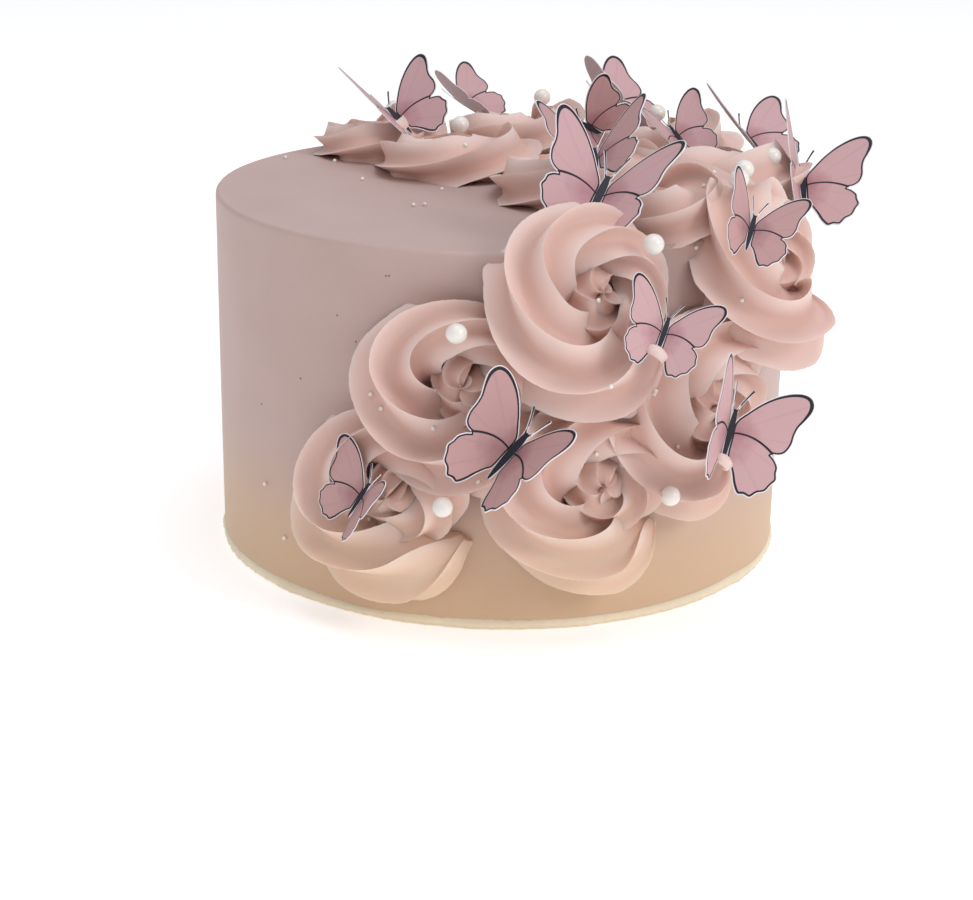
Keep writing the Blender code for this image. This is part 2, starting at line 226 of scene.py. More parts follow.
def cream(name, light, deep, rough, bump_mm, grain_mm, streak_mm=None, foot=None, fold=None):
    """Buttercream with a blotchy tint and fine pits, and streaks, a painted board reflection at the foot
    or a painted shade in the folds if asked.
    """
    material, tree, shader, where = new_material(name)
    # 45 to the metre makes blotches about 22 mm across.
    blotch = add_node(tree, "ShaderNodeTexNoise", {}, {"Vector": where}, Scale=45.0, Detail=3.0)
    tint = add_node(
        tree, "ShaderNodeMix", {"data_type": "RGBA"}, {"Factor": blotch.outputs["Fac"]}
    )
    tint.inputs[6].default_value = linear(light)
    tint.inputs[7].default_value = linear(deep)
    colour = tint.outputs[2]
    # Painted shade: the lip attribute darkens the folds and the inner laps into a warmer colour.
    if fold:
        edge = add_node(tree, "ShaderNodeAttribute", {"attribute_name": "lip"})
        painted_fold_shade = add_node(tree, "ShaderNodeMix", {"data_type": "RGBA"}, {"Factor": edge.outputs["Fac"]})
        painted_fold_shade.inputs[6].default_value = linear(fold)
        tree.links.new(colour, painted_fold_shade.inputs[7])
        colour = painted_fold_shade.outputs[2]
    # Painted reflection: low down the colour turns warm peach, for the light of a gold cake board.
    if foot:
        split = add_node(tree, "ShaderNodeSeparateXYZ", {}, {"Vector": where})
        low = add_node(
            tree,
            "ShaderNodeMapRange",
            {"interpolation_type": "SMOOTHSTEP"},
            {"Value": split.outputs["Z"]},
            From_Min=BOARD_REFLECTION_TOP * MM,
            From_Max=BOARD_REFLECTION_FULL * MM,
            To_Min=0.0,
            To_Max=0.80,
        )
        painted_board_reflection = add_node(tree, "ShaderNodeMix", {"data_type": "RGBA"}, {"Factor": low.outputs[0]})
        tree.links.new(colour, painted_board_reflection.inputs[6])
        painted_board_reflection.inputs[7].default_value = linear(foot)
        colour = painted_board_reflection.outputs[2]
    tree.links.new(colour, shader.inputs["Base Color"])
    shader.inputs["Roughness"].default_value = rough
    shader.inputs["IOR"].default_value = 1.46
    shader.inputs["Specular IOR Level"].default_value = 0.35
    shader.inputs["Subsurface Weight"].default_value = 0.30
    shader.inputs["Subsurface Radius"].default_value = (1.0, 0.58, 0.42)
    shader.inputs["Subsurface Scale"].default_value = 0.0014
    pits = add_node(
        tree, "ShaderNodeTexNoise", {}, {"Vector": where}, Scale=1000 / grain_mm, Detail=4.0
    )
    bump = add_node(
        tree,
        "ShaderNodeBump",
        {},
        {"Height": pits.outputs["Fac"]},
        Strength=0.35,
        Distance=bump_mm * MM,
    )
    if streak_mm:
        squeeze = add_node(tree, "ShaderNodeMapping", {}, {"Vector": where}, Scale=(0.03, 0.03, 1.0))
        streaks = add_node(
            tree,
            "ShaderNodeTexNoise",
            {},
            {"Vector": squeeze.outputs[0]},
            Scale=1000 / streak_mm,
            Detail=5.0,
        )
        bump = add_node(
            tree,
            "ShaderNodeBump",
            {},
            {"Height": streaks.outputs["Fac"], "Normal": bump.outputs[0]},
            Strength=0.25,
            Distance=0.25 * MM,
        )
    tree.links.new(bump.outputs[0], shader.inputs["Normal"])
    return material


# %% [markdown]
# ## Three creams
# The piping and the coat are the same cream, and the piping is the least rough. Its colour is paler than
# the coat's darker, greyer one as painted light and painted shade, for the brighter light that the
# piping's lips and flanks catch. The roll left at the foot is untinted, rough cream.

# %% Cream colours
# Piped: satin, with a soft shine on the lips, a painted warm shade in the folds and a painted board
# reflection low down.
piped_cream = cream(
    "piped rose buttercream", "#ebd5ce", "#e4cac1", 0.46, 0.12, 0.6, foot="#ead0b2", fold="#dab4a7"
)
# Scraped: nearly matt, with faint level lines that the eye reads as a smoothed side.
# The coat's darker colours are painted shade on the same cream as the piping.
coat_cream = cream(
    "scraped rose buttercream coat",
    "#c9afa8",
    "#c0a49c",
    0.5,
    0.10,
    0.7,
    streak_mm=1.2,
    # Painted reflection of a gold cake board on the lowest third.
    foot="#d2b18c",
)
# Pressed out under the scraper: matt and pitted, a pale line round the base.
foot_cream = cream("pale buttercream foot", "#f1e4cd", "#e6d3b4", 0.55, 0.2, 0.8)
print("creams mixed:", len(bpy.data.materials))

# %% [markdown]
# ## The coat
# The cake is masked with one smooth coat. The scraper leaves a crisp top edge with a faint raised lip
# and very slight waves in the side. A cylinder primitive would have no such edge, so the outline of a
# slice is drawn as a line and spun round the middle. It has many levels, so that code can then move its
# points by a tenth of a millimetre here and there.

# %% Coat
def waves(angle, level, seed):
    """A slow, smooth wobble from -1 to 1 over an angle and a level."""
    total = np.zeros(np.broadcast(angle, level).shape)
    for k in range(1, 6):
        total = total + np.sin(angle * (k + 1) + level * 0.9 * k + seed * 1.7 * k) / k
    return total / 2.3


def turned(profile, steps, name):
    """Spins a line of (radius, height) pairs in millimetres about Z into one closed piece."""
    line = bpy.data.meshes.new(name)
    corners = [(0, -radius * MM, height * MM) for radius, height in profile]
    line.from_pydata(corners, [(i, i + 1) for i in range(len(corners) - 1)], [])
    piece = bpy.data.objects.new(name, line)
    bpy.context.scene.collection.objects.link(piece)
    deselect()
    piece.select_set(True)
    bpy.context.view_layer.objects.active = piece
    bpy.ops.object.mode_set(mode="EDIT")
    bpy.ops.mesh.select_all(action="SELECT")
    bpy.ops.mesh.spin(steps=steps, angle=tau, center=(0, 0, 0), axis=(0, 0, 1))
    bpy.ops.mesh.select_all(action="SELECT")
    bpy.ops.mesh.remove_doubles(threshold=0.01 * MM)
    bpy.ops.mesh.normals_make_consistent(inside=False)
    bpy.ops.object.mode_set(mode="OBJECT")
    return piece


profile = [(0, 0.1), (20, 0.1), (50, 0.1), (77.5, 0.1), (79.3, 0.15), (79.9, 0.8)]
profile += [(79.95, z) for z in np.linspace(2.0, 96.5, 46)]
profile += [(79.95, 98.0), (79.85, 98.8), (79.5, 99.25), (79.0, 99.4)]
profile += [(78.3, 99.2), (77.4, 98.98), (76, 98.92)]
profile += [(r, 98.9) for r in np.linspace(74, 3, 30)]
profile += [(0, 98.9)]
COAT_STEPS = 288
coat = turned(profile, COAT_STEPS, "coat")
points = np.array([vert.co for vert in coat.data.vertices]) / MM
angle = np.arctan2(points[:, 0], -points[:, 1])
reach = np.hypot(points[:, 0], points[:, 1])
side = np.clip((reach - 70) / 9, 0, 1) * np.clip(points[:, 2] / 3, 0, 1)
swell = waves(angle, points[:, 2] * 0.06, 1.0) * 0.16 * side
points[:, 0] += swell * points[:, 0] / np.maximum(reach, 1)
points[:, 1] += swell * points[:, 1] / np.maximum(reach, 1)
flat = np.clip((points[:, 2] - 96) / 2.5, 0, 1)
points[:, 2] += flat * 0.14 * waves(angle * 0.5 + reach * 0.05, reach * 0.08, 3.0)
coat.data.vertices.foreach_set("co", (points * MM).ravel())
coat.data.materials.append(coat_cream)
coat.data.shade_smooth()
settle(coat, "coat", "coat", "cake")

# %% [markdown]
# ## The foot
# Where the scraper meets the board, a thin roll of paler cream is left, about 2.5 mm high, with a ragged
# lower edge. A torus primitive would be too even, so five rings of points are laid round the coat, the
# outer ones with more of one ragged wobble, and joined into a closed band just proud of it.

# %% Foot
steps = 720
around = np.linspace(0, tau, steps, endpoint=False)
ragged = 0.35 * waves(around * 7, around * 3, 2.0) + 0.22 * np.sin(around * 131) * np.sin(around * 47)
high = 2.6 + 0.5 * waves(around * 3, around, 5.0)
points = []
FOOT_SECTION = ((0.0, 0.0), (1.0, 0.0), (1.0, 0.5), (0.5, 0.95), (-0.2, 1.0))
for share_out, share_up in FOOT_SECTION:
    reach = 79.6 + share_out * (0.75 + ragged * (1 if share_up == 0 else 0.4))
    level = 0.05 + share_up * high
    points.append(np.column_stack([reach * np.sin(around), -reach * np.cos(around), level]))
rows = len(points)
points = np.concatenate(points)
faces = []
for row in range(rows):
    after = (row + 1) % rows
    for i in range(steps):
        j = (i + 1) % steps
        faces.append((row * steps + i, row * steps + j, after * steps + j, after * steps + i))
foot = mesh_piece(points * MM, faces, "foot")
foot.data.materials.append(foot_cream)
foot.data.shade_smooth()
settle(foot, "coat_foot", "coat")

# %% [markdown]
# ## Where each rosette sits
# A seat is a place on the wall, near the edge or on the flat top. A point is given to the right, up and
# out from it, in millimetres. On the wall the point is bent round the cake, so a rosette hugs it. Near
# the edge the seat leans back, because a rosette there was piped half on the wall and half on the top.

# %% Seats
def seat_points(kind, place, right, up, out):
    """World places in millimetres of points given to the right, up and out from a seat."""
    if kind == "side":
        azimuth, height = radians(place[0]), place[1]
        angle = azimuth + right / CAKE_RADIUS
        reach = CAKE_RADIUS + out
        return np.stack([reach * np.sin(angle), -reach * np.cos(angle), height + up], axis=-1)
    if kind == "top":
        return np.stack([place[0] + right, place[1] + up, CAKE_HEIGHT + out], axis=-1)
    azimuth, height, lean = radians(place[0]), place[1], radians(place[2])
    outward = np.array((sin(azimuth) * cos(lean), -cos(azimuth) * cos(lean), sin(lean)))
    sideways = np.array((cos(azimuth), sin(azimuth), 0.0))
    upward = np.cross(outward, sideways)
    foot_at = np.array((CAKE_RADIUS * sin(azimuth), -CAKE_RADIUS * cos(azimuth), height))
    return (
        foot_at
        + right[..., None] * sideways
        + up[..., None] * upward
        + out[..., None] * outward
    )


print("seats are bent round a radius of", CAKE_RADIUS, "mm, and the top is at", CAKE_HEIGHT, "mm")

# %% [markdown]
# ## The list of rosettes
# Thirteen rosettes, in about the order in which a baker would pipe them, the lower ones first. On the
# wall and near the edge a place is an azimuth in degrees and a height, and near the edge the lean in
# degrees as well. On the top it is a place to the right and to the back.

# %% Rosette list
# name: kind, place, radius, squash of the height, turn of the star in degrees, how far the hollow lies
# off the middle and in which direction, how deep the skirt goes in, and where the tail ends in degrees
ROSETTES = {
    "rosette_low_left": ("side", (-18.5, 36.0), 26.5, 1.0, 0, 1.8, 70, 3, -35),
    "rosette_low_middle": ("side", (17, 40.0), 26.5, 1.0, 15, 1.8, 70, 3, -40),
    "rosette_left": ("side", (-6.5, 66.5), 27.0, 1.0, 45, 1.8, 60, 3, -20),
    "rosette_right": ("side", (38, 57.0), 27.5, 1.0, 0, 1.8, 70, 3, -60),
    "rosette_top_left": ("top", (-41, 50), 22.5, 0.85, 0, 0, 0, 0.5, 100),
    "rosette_top_back": ("top", (0, 58), 25.0, 0.92, 20, 0, 0, 0.5, 70),
    "rosette_top_back_right": ("top", (40, 42), 27.0, 0.9, 0, 0, 0, 0.5, 60),
    "rosette_top_centre": ("top", (-17, 26), 25.0, 0.80, 40, 0, 0, 0.5, 50),
    "rosette_top_right": ("top", (57, 4), 27.0, 0.9, 20, 0, 0, 0.5, 20),
    "rosette_top_middle": ("top", (18, -7), 28.0, 0.82, 0, 0, 0, 0.5, 60),
    "rosette_edge_right": ("edge", (53.5, 90.5, 22), 27.0, 1.0, 30, 2.0, 60, 24, -40),
    "rosette_top_front": ("top", (37, -43), 26.0, 0.85, 40, 0, 0, 0.5, 100),
    "rosette_edge_front": ("edge", (16, 87.0, 18), 27.5, 1.0, 15, 1.5, 95, 22, -40),
}
print("rosettes:", len(ROSETTES))

# %% [markdown]
# ## Piped rosettes
# A rosette is one rope of cream from a bag with a six-toothed open star tip. The tip starts in the
# middle, goes round to the left one and three quarter times, and is pulled away at the outside. The bag
# never turns, so the star keeps facing the same way while the rope goes round: each sharp tooth mark
# starts low on the outside of the rope and climbs over it to the hollow.
#
# A curve with a star bevel would turn the star with the curve. Here a flat sheet of small squares is
# laid round the rope in code instead: its rows go along the path and its columns go round the star, so
# every tooth mark is one clean line of points.

# %% Rope numbers
TEETH = 6
COLUMNS = 16
ROWS = 330
ROPE_TURNS = 1.75
# How far out a valley's bottom lies, as a share of a lip's reach, on the side and on the top.
VALLEY = 0.52
TOP_VALLEY = 0.62
# How far under the cake's skin the rope keeps its round shape, in millimetres.
FLOOR = 3
# Share of the path done, then the path's and the rope's radius as shares of the rosette's.
GROWTH = (
    (0.00, 0.00, 0.27),
    (0.22, 0.02, 0.27),
    (0.33, 0.22, 0.25),
    (0.43, 0.43, 0.24),
    (0.60, 0.47, 0.26),
    (0.76, 0.62, 0.40),
    (0.92, 0.69, 0.45),
    (1.00, 0.74, 0.45),
)


def tooth_phases():
    """Places round the star and each one's share of the way down, each lip steep on its inner side."""
    phases, depths = [], []
    for tooth in range(TEETH):
        for i in range(COLUMNS):
            share = i / COLUMNS
            eased = share - 0.09 * sin(tau * share)
            phases.append((tooth + eased) * tau / TEETH)
            depths.append(1 - abs(1 - 2 * eased**0.72) ** 3.0)
    return np.array(phases), np.array(depths)


print("points round the rope:", TEETH * COLUMNS)

# %% [markdown]
# ## The path and the star
# The rope's middle winds out from the hollow and rises, and the rope grows thicker in its last lap,
# because the bag is pressed harder there. It starts as a smooth blob, so the star fades in, and it is
# drawn out thin at the tail. Small slow waves and nicks on the lips keep it from looking turned on a
# lathe. What would lie under the cake's skin is pulled straight in, so the rope meets it without a gap.

# %% Rope
def rope(name):
    """The points of a rosette's rope, rows along the path and columns round the star, in millimetres."""
    kind, place, radius, squash, phase, shift, towards, depth, end = ROSETTES[name]
    on_top = kind == "top"
    seed = list(ROSETTES).index(name) + 1.0
    along = np.linspace(0, 1, ROWS) ** 0.95
    theta = radians(end) - ROPE_TURNS * tau * (1 - along)
    done, paths, ropes = np.array(GROWTH).T
    soft = np.linspace(-0.06, 0.06, 9)
    path = radius * np.mean([np.interp(along + s, done, paths) for s in soft], axis=0)
    tip = radius * np.mean([np.interp(along + s, done, ropes) for s in soft], axis=0)
    tail = np.clip((along - 0.93) / 0.07, 0, 1)
    tip = tip * (1 - 0.86 * tail**1.5)
    path = path + 1.5 * tail**2
    middle = np.interp(along, (0, 0.25, 0.5, 1), (3.0, 3.0, 4.0, 5.0)) * (1 - 0.75 * tail)
    phases, depths = tooth_phases()
    tip = tip * (1 + 0.03 * np.sin(theta * 2.3 + seed) + 0.02 * np.sin(theta * 5.1 + seed * 2))
    tooth = phases[None, :] * TEETH / tau
    turned_by = theta[:, None]
    chatter = np.sin(turned_by * 53 + seed + tooth * 2.1) * np.sin(turned_by * 19 + seed * 3 + tooth)
    nick = 0.10 * chatter - 0.55 * np.clip(chatter - 0.55, 0, 1)
    lip = (1 - depths) ** 6
    uneven = 1 + 0.06 * np.sin(turned_by * 1.7 + tooth * 1.9 + seed)
    fade_in = np.interp(along, (0, 0.28, 0.45), (0.22, 0.45, 1))
    sunk = (1 - (TOP_VALLEY if on_top else VALLEY)) * (fade_in * (1 - 0.8 * tail))[:, None]
    ruffle = (0.5 if on_top else 0.25) * np.sin(turned_by * 5 + tooth * 2.4 + seed)
    star = tip[:, None] * (1 + 0.05 * lip - sunk * depths[None, :] * uneven)
    star = star + (nick + ruffle) * lip[None, :]
    # The star faces one way, so its teeth wander round the rope as the rope turns. On the top they
    # wander less, which makes the lips there run long.
    follow = 0.65 if on_top else 1.0
    psi = phases[None, :] + follow * turned_by - radians(phase)
    psi = psi + 0.09 * np.sin(theta * 3.1 + seed * 1.3)[:, None]
    # The lips lean towards the hollow.
    psi = psi + 0.13 * (1 - depths) ** 2
    sideways = star * np.cos(psi)
    lift = middle[:, None] + star * np.sin(psi)
    under = lift < -FLOOR
    held = np.sqrt(np.clip(1 - ((middle[:, None] + FLOOR) / star) ** 2, 0, 1)) * star
    sideways = np.where(under, np.sign(np.cos(psi)) * held, sideways)
    lift = np.where(under, np.maximum(-FLOOR + (lift + FLOOR) * 6, -FLOOR - depth), lift)
    # The cream spreads a little where it meets the cake.
    skirt = np.clip(1 - np.abs(lift) / 3.0, 0, 1) ** 2 * (sideways > 0) * 1.4
    if on_top:
        skirt = skirt * (1 + 0.8 * np.sin(theta * 8 + seed))[:, None]
    out = path[:, None] + sideways + skirt
    rise = np.where(lift > 0, lift * squash, lift)
    right = out * np.cos(theta)[:, None] + shift * cos(radians(towards))
    up = out * np.sin(theta)[:, None] + shift * sin(radians(towards))
    # Painted shade: the folds and the inner laps by the hollow take the darker, warmer fold colour.
    painted_hollow_shade = 0.7 + 0.3 * np.clip(along / 0.4, 0, 1)
    painted_light_share = np.broadcast_to((1 - depths) ** 0.9, right.shape) * painted_hollow_shade[:, None]
    return seat_points(kind, place, right, up, rise), painted_light_share


print("laps of the rope:", ROPE_TURNS)

# %% [markdown]
# ## Piping them
# The sheet's squares are numbered row by row and closed with a fan of triangles at each end, so every
# rosette is one closed skin. Its normals are recalculated outward, and only the sharpest tooth marks
# stay as hard edges. The lip attribute goes with it: it paints shade into the folds and the inner laps.

# %% Rosettes
def rope_faces(rows, columns):
    """Squares of the sheet, closed round the rope, with a fan over each end."""
    faces = []
    for i in range(rows - 1):
        for j in range(columns):
            k = (j + 1) % columns
            low, high = i * columns, (i + 1) * columns
            faces.append((low + j, low + k, high + k, high + j))
    start, stop = rows * columns, rows * columns + 1
    for j in range(columns):
        k = (j + 1) % columns
        faces.append((start, k, j))
        faces.append((stop, stop - 1 - columns + j, stop - 1 - columns + k))
    return faces


def outward(piece):
    """Turns all faces outward."""
    shape = bmesh.new()
    shape.from_mesh(piece.data)
    bmesh.ops.recalc_face_normals(shape, faces=shape.faces)
    shape.to_mesh(piece.data)
    shape.free()


def mark_painted_light(piece, values):
    """Stores on each point how much painted light it gets, from 0 in a shaded fold to 1 on a lit lip."""
    lip = piece.data.attributes.new("lip", "FLOAT", "POINT")
    lip.data.foreach_set("value", values.astype(np.float32))


for name in ROSETTES:
    grid, painted_light_share = rope(name)
    points = grid.reshape(-1, 3)
    ends = np.stack([grid[0].mean(axis=0), grid[-1].mean(axis=0)])
    points = np.concatenate([points, ends]) * MM
    piece = mesh_piece(points, rope_faces(ROWS, TEETH * COLUMNS), name)
    mark_painted_light(piece, np.append(painted_light_share.ravel(), (0.0, 0.0)))
    outward(piece)
    piece.data.materials.append(piped_cream)
    piece.data.shade_smooth()
    piece.data.set_sharp_from_angle(angle=radians(50))
    settle(piece, "piped_" + name, "piped", name)

# %% [markdown]
# ## Sugar pearls
# Round sugar balls about 5 mm across, tumbled in a pan until they are smooth and only a hair out of
# round, then dusted with pearl lustre. The dust gives them a soft wide shine with a sharper one over it,
# from a thin coat. Each one is a sphere primitive at its solid's place, pressed a little flat in edit
# mode. The solids are 6 mm across, which is a little large, so the pearls are drawn smaller. The drawn
# cream is lower than its solids in places, and there six of the pearls lie 1 to 3 mm clear of it.

# %% Pearls
PEARL_RADIUS = 2.6
pearl_sugar, tree, shader, where = new_material("lustre-dusted sugar pearl")
cloud = add_node(tree, "ShaderNodeTexNoise", {}, {"Vector": where}, Scale=260.0, Detail=2.0)
tone = add_node(tree, "ShaderNodeMix", {"data_type": "RGBA"}, {"Factor": cloud.outputs["Fac"]})
tone.inputs[6].default_value = linear("#f6f1ea")
tone.inputs[7].default_value = linear("#e2ddd3")
tree.links.new(tone.outputs[2], shader.inputs["Base Color"])
shader.inputs["Roughness"].default_value = 0.32
shader.inputs["Subsurface Weight"].default_value = 0.25
shader.inputs["Subsurface Scale"].default_value = 0.001
shader.inputs["Coat Weight"].default_value = 0.6
shader.inputs["Coat Roughness"].default_value = 0.18
shader.inputs["Sheen Weight"].default_value = 0.2

for node in sorted(n for n in frame["nodes"] if n.startswith("pearl")):
    low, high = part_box(node)
    deselect()
    middle = (low + high) / 2
    bpy.ops.mesh.primitive_uv_sphere_add(
        segments=40, ring_count=20, radius=PEARL_RADIUS * MM, location=middle
    )
    bpy.ops.object.mode_set(mode="EDIT")
    bpy.ops.transform.resize(value=(1.0, 0.985, 0.97), center_override=middle)
    bpy.ops.object.mode_set(mode="OBJECT")
    bpy.ops.object.shade_smooth()
    bpy.ops.object.transform_apply(location=True, rotation=True, scale=True)
    ball = bpy.context.object
    ball.data.materials.append(pearl_sugar)
    settle(ball, "lustre_" + node, "pearl", node)

# %% [markdown]
# ## Printed butterfly card
# The butterflies are printed on stiff white card and cut out just outside the black outline, so a
# thin white edge shows all round. Card is matt, with a fibre that is only just felt. The reverse is plain
# and greyer. A cut edge catches the light, so the card is as thick as real card, 0.3 mm.

# %% Card
FIBRE_MM = 0.4


def card_stock(name, colour, rough):
    """Uncoated card with a faint fibre."""
    material, tree, shader, where = new_material(name)
    fibre = add_node(
        tree, "ShaderNodeTexNoise", {}, {"Vector": where}, Scale=1000 / FIBRE_MM, Detail=2.0
    )
    bump = add_node(
        tree, "ShaderNodeBump", {}, {"Height": fibre.outputs["Fac"]}, Strength=0.2, Distance=0.03 * MM
    )
    tree.links.new(bump.outputs[0], shader.inputs["Normal"])
    shader.inputs["Base Color"].default_value = linear(colour)
    shader.inputs["Roughness"].default_value = rough
    shader.inputs["Specular IOR Level"].default_value = 0.3
    return material, tree, shader


# Cut white card: bright and quite matt.
white_card, _, _ = card_stock("white card edge", "#ebe6e8", 0.75)
# Black ink lies on the card as a thin film, so it has a slight shine.
black_ink, _, _ = card_stock("black ink on card", "#26222c", 0.5)
# The unprinted reverse is the dullest of them.
plain_back, _, _ = card_stock("plain card reverse", "#c3b4b7", 0.8)
print("card ready:", white_card.name, black_ink.name, plain_back.name)

# %% [markdown]
# ## The print
# The wings are printed a dusty mauve, darker at the roots by the body and paler further out, with faint
# veins that fan out. The pattern follows the flat card and not the folded one, so each butterfly has a
# map, flat, that holds its points as they lay before folding, in units of 20 mm. Four of the butterflies
# come from a darker sheet.

# %% Wing print
VEINS_AROUND = 13.0


def wing_print(name, middle_colour, root_colour, vein_colour):
    """A printed wing: darker soft roots, a paler middle and faint veins that fan out."""
    material, tree, shader = card_stock(name, middle_colour, 0.6)
    flat = add_node(tree, "ShaderNodeUVMap", {"uv_map": "flat"})
    split = add_node(tree, "ShaderNodeSeparateXYZ", {}, {"Vector": flat.outputs[0]})
    far_out = add_node(
        tree, "ShaderNodeVectorMath", {"operation": "LENGTH"}, {"Vector": flat.outputs[0]}
    )
    glow = add_node(
        tree,
        "ShaderNodeMapRange",
        {"interpolation_type": "SMOOTHSTEP"},
        {"Value": far_out.outputs["Value"]},
        From_Min=0.05,
        From_Max=0.75,
    )
    soft = add_node(tree, "ShaderNodeTexNoise", {}, {"Vector": flat.outputs[0]}, Scale=3.0, Detail=2.0)
    shade = add_node(
        tree,
        "ShaderNodeMath",
        {"operation": "MULTIPLY_ADD"},
        {0: glow.outputs[0], 2: soft.outputs["Fac"]},
    )
    shade.inputs[1].default_value = 0.75
    ramp = add_node(tree, "ShaderNodeValToRGB", {}, {"Fac": shade.outputs[0]})
    ramp.color_ramp.elements[0].color = linear(root_colour)
    ramp.color_ramp.elements[0].position = 0.30
    ramp.color_ramp.elements[1].color = linear(middle_colour)
    ramp.color_ramp.elements[1].position = 1.05
    bearing = add_node(
        tree, "ShaderNodeMath", {"operation": "ARCTAN2"}, {0: split.outputs["Y"], 1: split.outputs["X"]}
    )
    beat = add_node(tree, "ShaderNodeMath", {"operation": "MULTIPLY"}, {0: bearing.outputs[0]})
    beat.inputs[1].default_value = VEINS_AROUND
    wave = add_node(tree, "ShaderNodeMath", {"operation": "SINE"}, {0: beat.outputs[0]})
    vein = add_node(
        tree,
        "ShaderNodeMapRange",
        {},
        {"Value": wave.outputs[0]},
        From_Min=0.93,
        From_Max=1.0,
        To_Max=0.10,
    )
    print_mix = add_node(tree, "ShaderNodeMix", {"data_type": "RGBA"}, {"Factor": vein.outputs[0]})
    tree.links.new(ramp.outputs["Color"], print_mix.inputs[6])
    print_mix.inputs[7].default_value = linear(vein_colour)
    tree.links.new(print_mix.outputs[2], shader.inputs["Base Color"])
    return material


pale_print = wing_print("pale mauve print on card", "#cca5a6", "#ac7980", "#94636d")
deep_print = wing_print("deep mauve print on card", "#c39a98", "#9c6e73", "#7c525b")
CARD_SLOTS = (white_card, black_ink, pale_print, plain_back)
EDGE, INK, PRINT, BACK = range(4)
DEEP_ONES = (
    "butterfly_side_front",
    "butterfly_second_top",
    "butterfly_side_left",
    "butterfly_side_high",
)
print("prints:", pale_print.name, "and", deep_print.name)

# %% [markdown]
# ## One wing pair, flat
# Half a butterfly is drawn flat, 20 mm from the body to the wing tip. Its outline is a list of corners,
# up the front wing to its rounded tip and back round the scalloped back wing, joined by a smooth line.

# %% Wing outline
OUTLINE = (
    (1.1, 3.5), (3.6, 7.0), (6.6, 10.4), (10.0, 13.3), (13.6, 15.3), (16.8, 16.1), (19.2, 15.5),
    (20.3, 13.6), (20.1, 11.4), (18.9, 8.8), (17.7, 6.6), (17.2, 4.4), (17.0, 1.6), (15.9, -1.0),
    (14.2, -2.1), (12.4, -2.4), (13.6, -3.4), (14.9, -5.2), (15.0, -6.9), (15.4, -8.8),
    (14.4, -10.4), (13.2, -12.6), (11.3, -13.6), (9.7, -15.3), (7.9, -15.0), (6.2, -15.3),
    (4.6, -13.2), (3.4, -10.2), (2.2, -7.8), (1.1, -6.0), (1.0, -1.0),
)


def smooth_loop(corners, count):
    """Points along a rounded closed line through the corners, evenly spaced."""
    corners = np.array(corners, float)
    n = len(corners)
    found = []
    for i in range(n):
        a, b, c, d = (corners[(i + k) % n] for k in (-1, 0, 1, 2))
        for t in np.linspace(0, 1, 12, endpoint=False):
            square = (2 * a - 5 * b + 4 * c - d) * t**2
            cube = (3 * b - a - 3 * c + d) * t**3
            found.append(0.5 * (2 * b + (c - a) * t + square + cube))
    found = np.array(found + [found[0]])
    gone = np.concatenate([[0], np.cumsum(np.linalg.norm(np.diff(found, axis=0), axis=1))])
    stops = np.linspace(0, gone[-1], count, endpoint=False)
    return np.stack([np.interp(stops, gone, found[:, k]) for k in (0, 1)], axis=1)


print("corners of the wing outline:", len(OUTLINE))

# %% [markdown]
# ## Cutting the wing
# A circle of points is moved onto the outline, and two insets in edit mode leave the white margin and
# the black outline round the print. The outline is widened at the wing tip, along the front edge and at
# the tail, because the print is thickest there. Bisect cuts the wing into strips, so that it can curve,
# and Solidify gives it the thickness of card, with the plain reverse below and a white rim.

# %% Wing template
def ink_extra(x, y):
    """How much wider the black outline is than its thinnest, in millimetres."""
    tip = 0.50 * np.exp(-((x - 19.6) ** 2 + (y - 13.6) ** 2) / 14)
    lead = 0.22 * np.exp(-((x - 14.0) ** 2 + (y - 15.6) ** 2) / 30)
    tail = 0.22 * np.exp(-((x - 5.5) ** 2 + (y + 13.5) ** 2) / 20)
    return tip + lead + tail


WHITE_MARGIN = 0.24
BLACK_LINE = 0.46
CARD_THICK = 0.30


